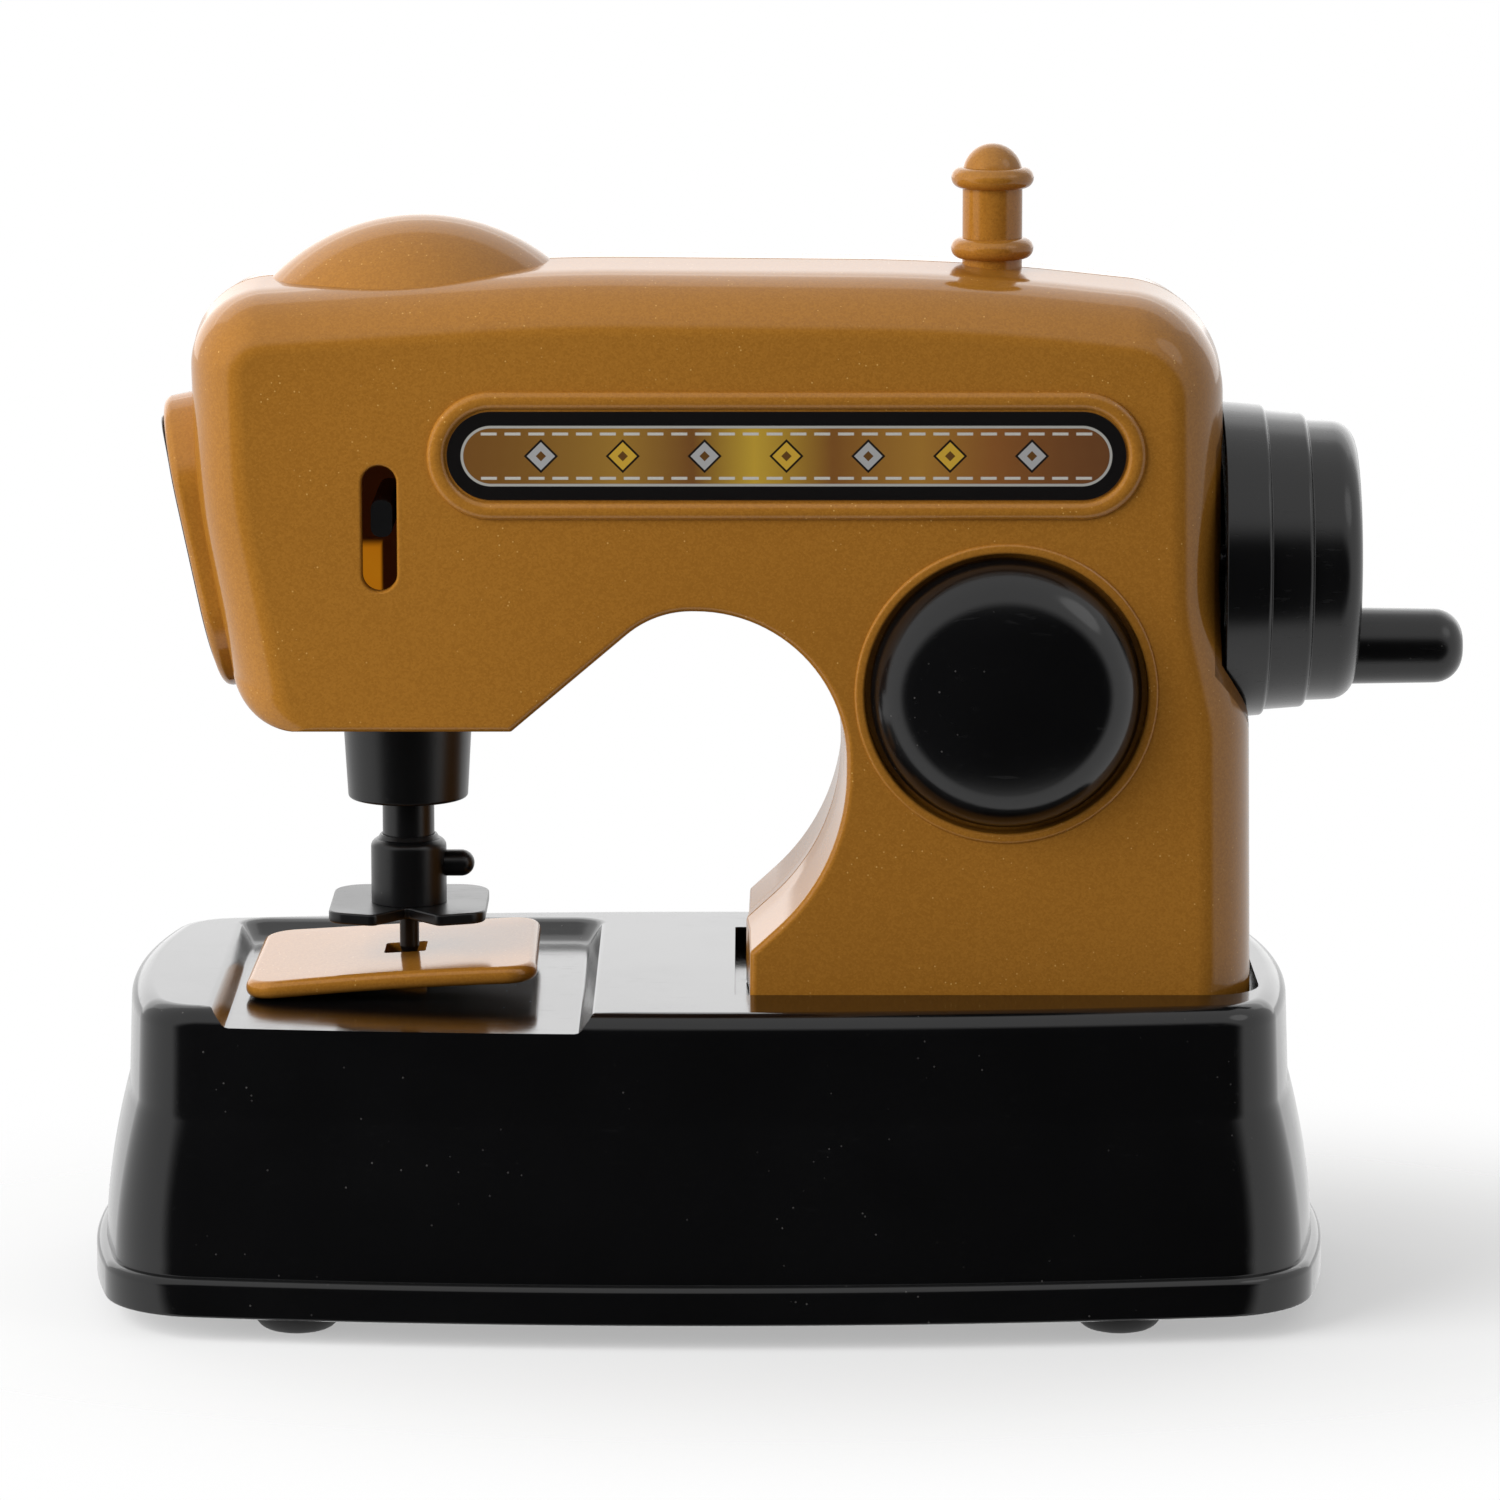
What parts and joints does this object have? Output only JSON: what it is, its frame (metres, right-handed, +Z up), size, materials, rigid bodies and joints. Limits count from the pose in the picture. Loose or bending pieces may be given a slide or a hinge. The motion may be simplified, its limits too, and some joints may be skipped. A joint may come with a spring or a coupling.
{
  "type": "toy sewing machine",
  "caption": "Hand-turned toy sewing machine: hollow split body with arm and head on a flared base, handwheel with crank peg, sliding needle bar with presser foot, and a turning front knob",
  "frame": {"origin": "on the table under the middle of the whole length, from the rim's left end to the crank handle's end, and under the middle of the base's depth", "axes": "X to the right along the length, towards the handwheel; Y to the back, the front knob and label face minus Y; Z up"},
  "size_m": [0.1898, 0.085, 0.1591],
  "materials": {
    "body_gold": "pearl gold moulded plastic, satin gloss with fine flecks",
    "pin_gold": "pearl gold moulded plastic",
    "plate_gold": "gold plastic, polished",
    "front_print": "printed sticker, gold and brown bands in a black border",
    "side_print": "printed silvery sticker with a black edge",
    "base_black": "glossy black moulded plastic with fine scratches",
    "bottom_black": "matt black plastic",
    "foot_rubber": "matt black rubber",
    "bush_black": "satin black plastic",
    "wheel_black": "glossy black plastic, in three steps",
    "knob_black": "glossy black plastic",
    "needle_black": "satin black plastic",
    "inner_black": "matt black plastic",
    "screw_steel": "zinc-plated steel",
    "shaft_steel": "bright drawn steel"
  },
  "bodies": {
    "body": {"front_shell": "body_gold", "rear_shell": "body_gold", "spool_pin": "pin_gold", "front_label": "front_print", "side_label": "side_print", "bar_bush": "bush_black", "base_cover": "base_black", "base_plate": "bottom_black", "rubber_feet": "foot_rubber", "base_screws": "screw_steel", "pillar_screws": "screw_steel", "body_screws": "screw_steel", "needle_plate": "plate_gold"},
    "wheel": {"handwheel": "wheel_black", "crank_handle": "wheel_black", "main_shaft": "shaft_steel", "crank_disc": "inner_black", "crank_pin": "shaft_steel", "shaft_collar": "inner_black", "wheel_screw": "screw_steel"},
    "needle_group": {"needle_bar": "needle_black", "needle_clamp": "needle_black", "clamp_peg": "needle_black", "presser_foot": "needle_black", "needle": "needle_black", "take_up_pin": "needle_black"},
    "knob": {"front_knob": "knob_black", "knob_washer": "shaft_steel", "knob_screw": "screw_steel"}
  },
  "joints": [
    {"name": "wheel_turn", "type": "hinge", "parent": "body", "child": "wheel", "pos_m": [0.07135, 0, 0.1015], "axis": [1, 0, 0], "continuous": true},
    {"name": "needle_slide", "type": "slide", "parent": "body", "child": "needle_group", "axis": [0, 0, 1], "range_m": [-0.0043, 0.0027]},
    {"name": "knob_turn", "type": "hinge", "parent": "body", "child": "knob", "pos_m": [0.03105, -0.023, 0.0865], "axis": [0, -1, 0], "continuous": true}
  ]
}
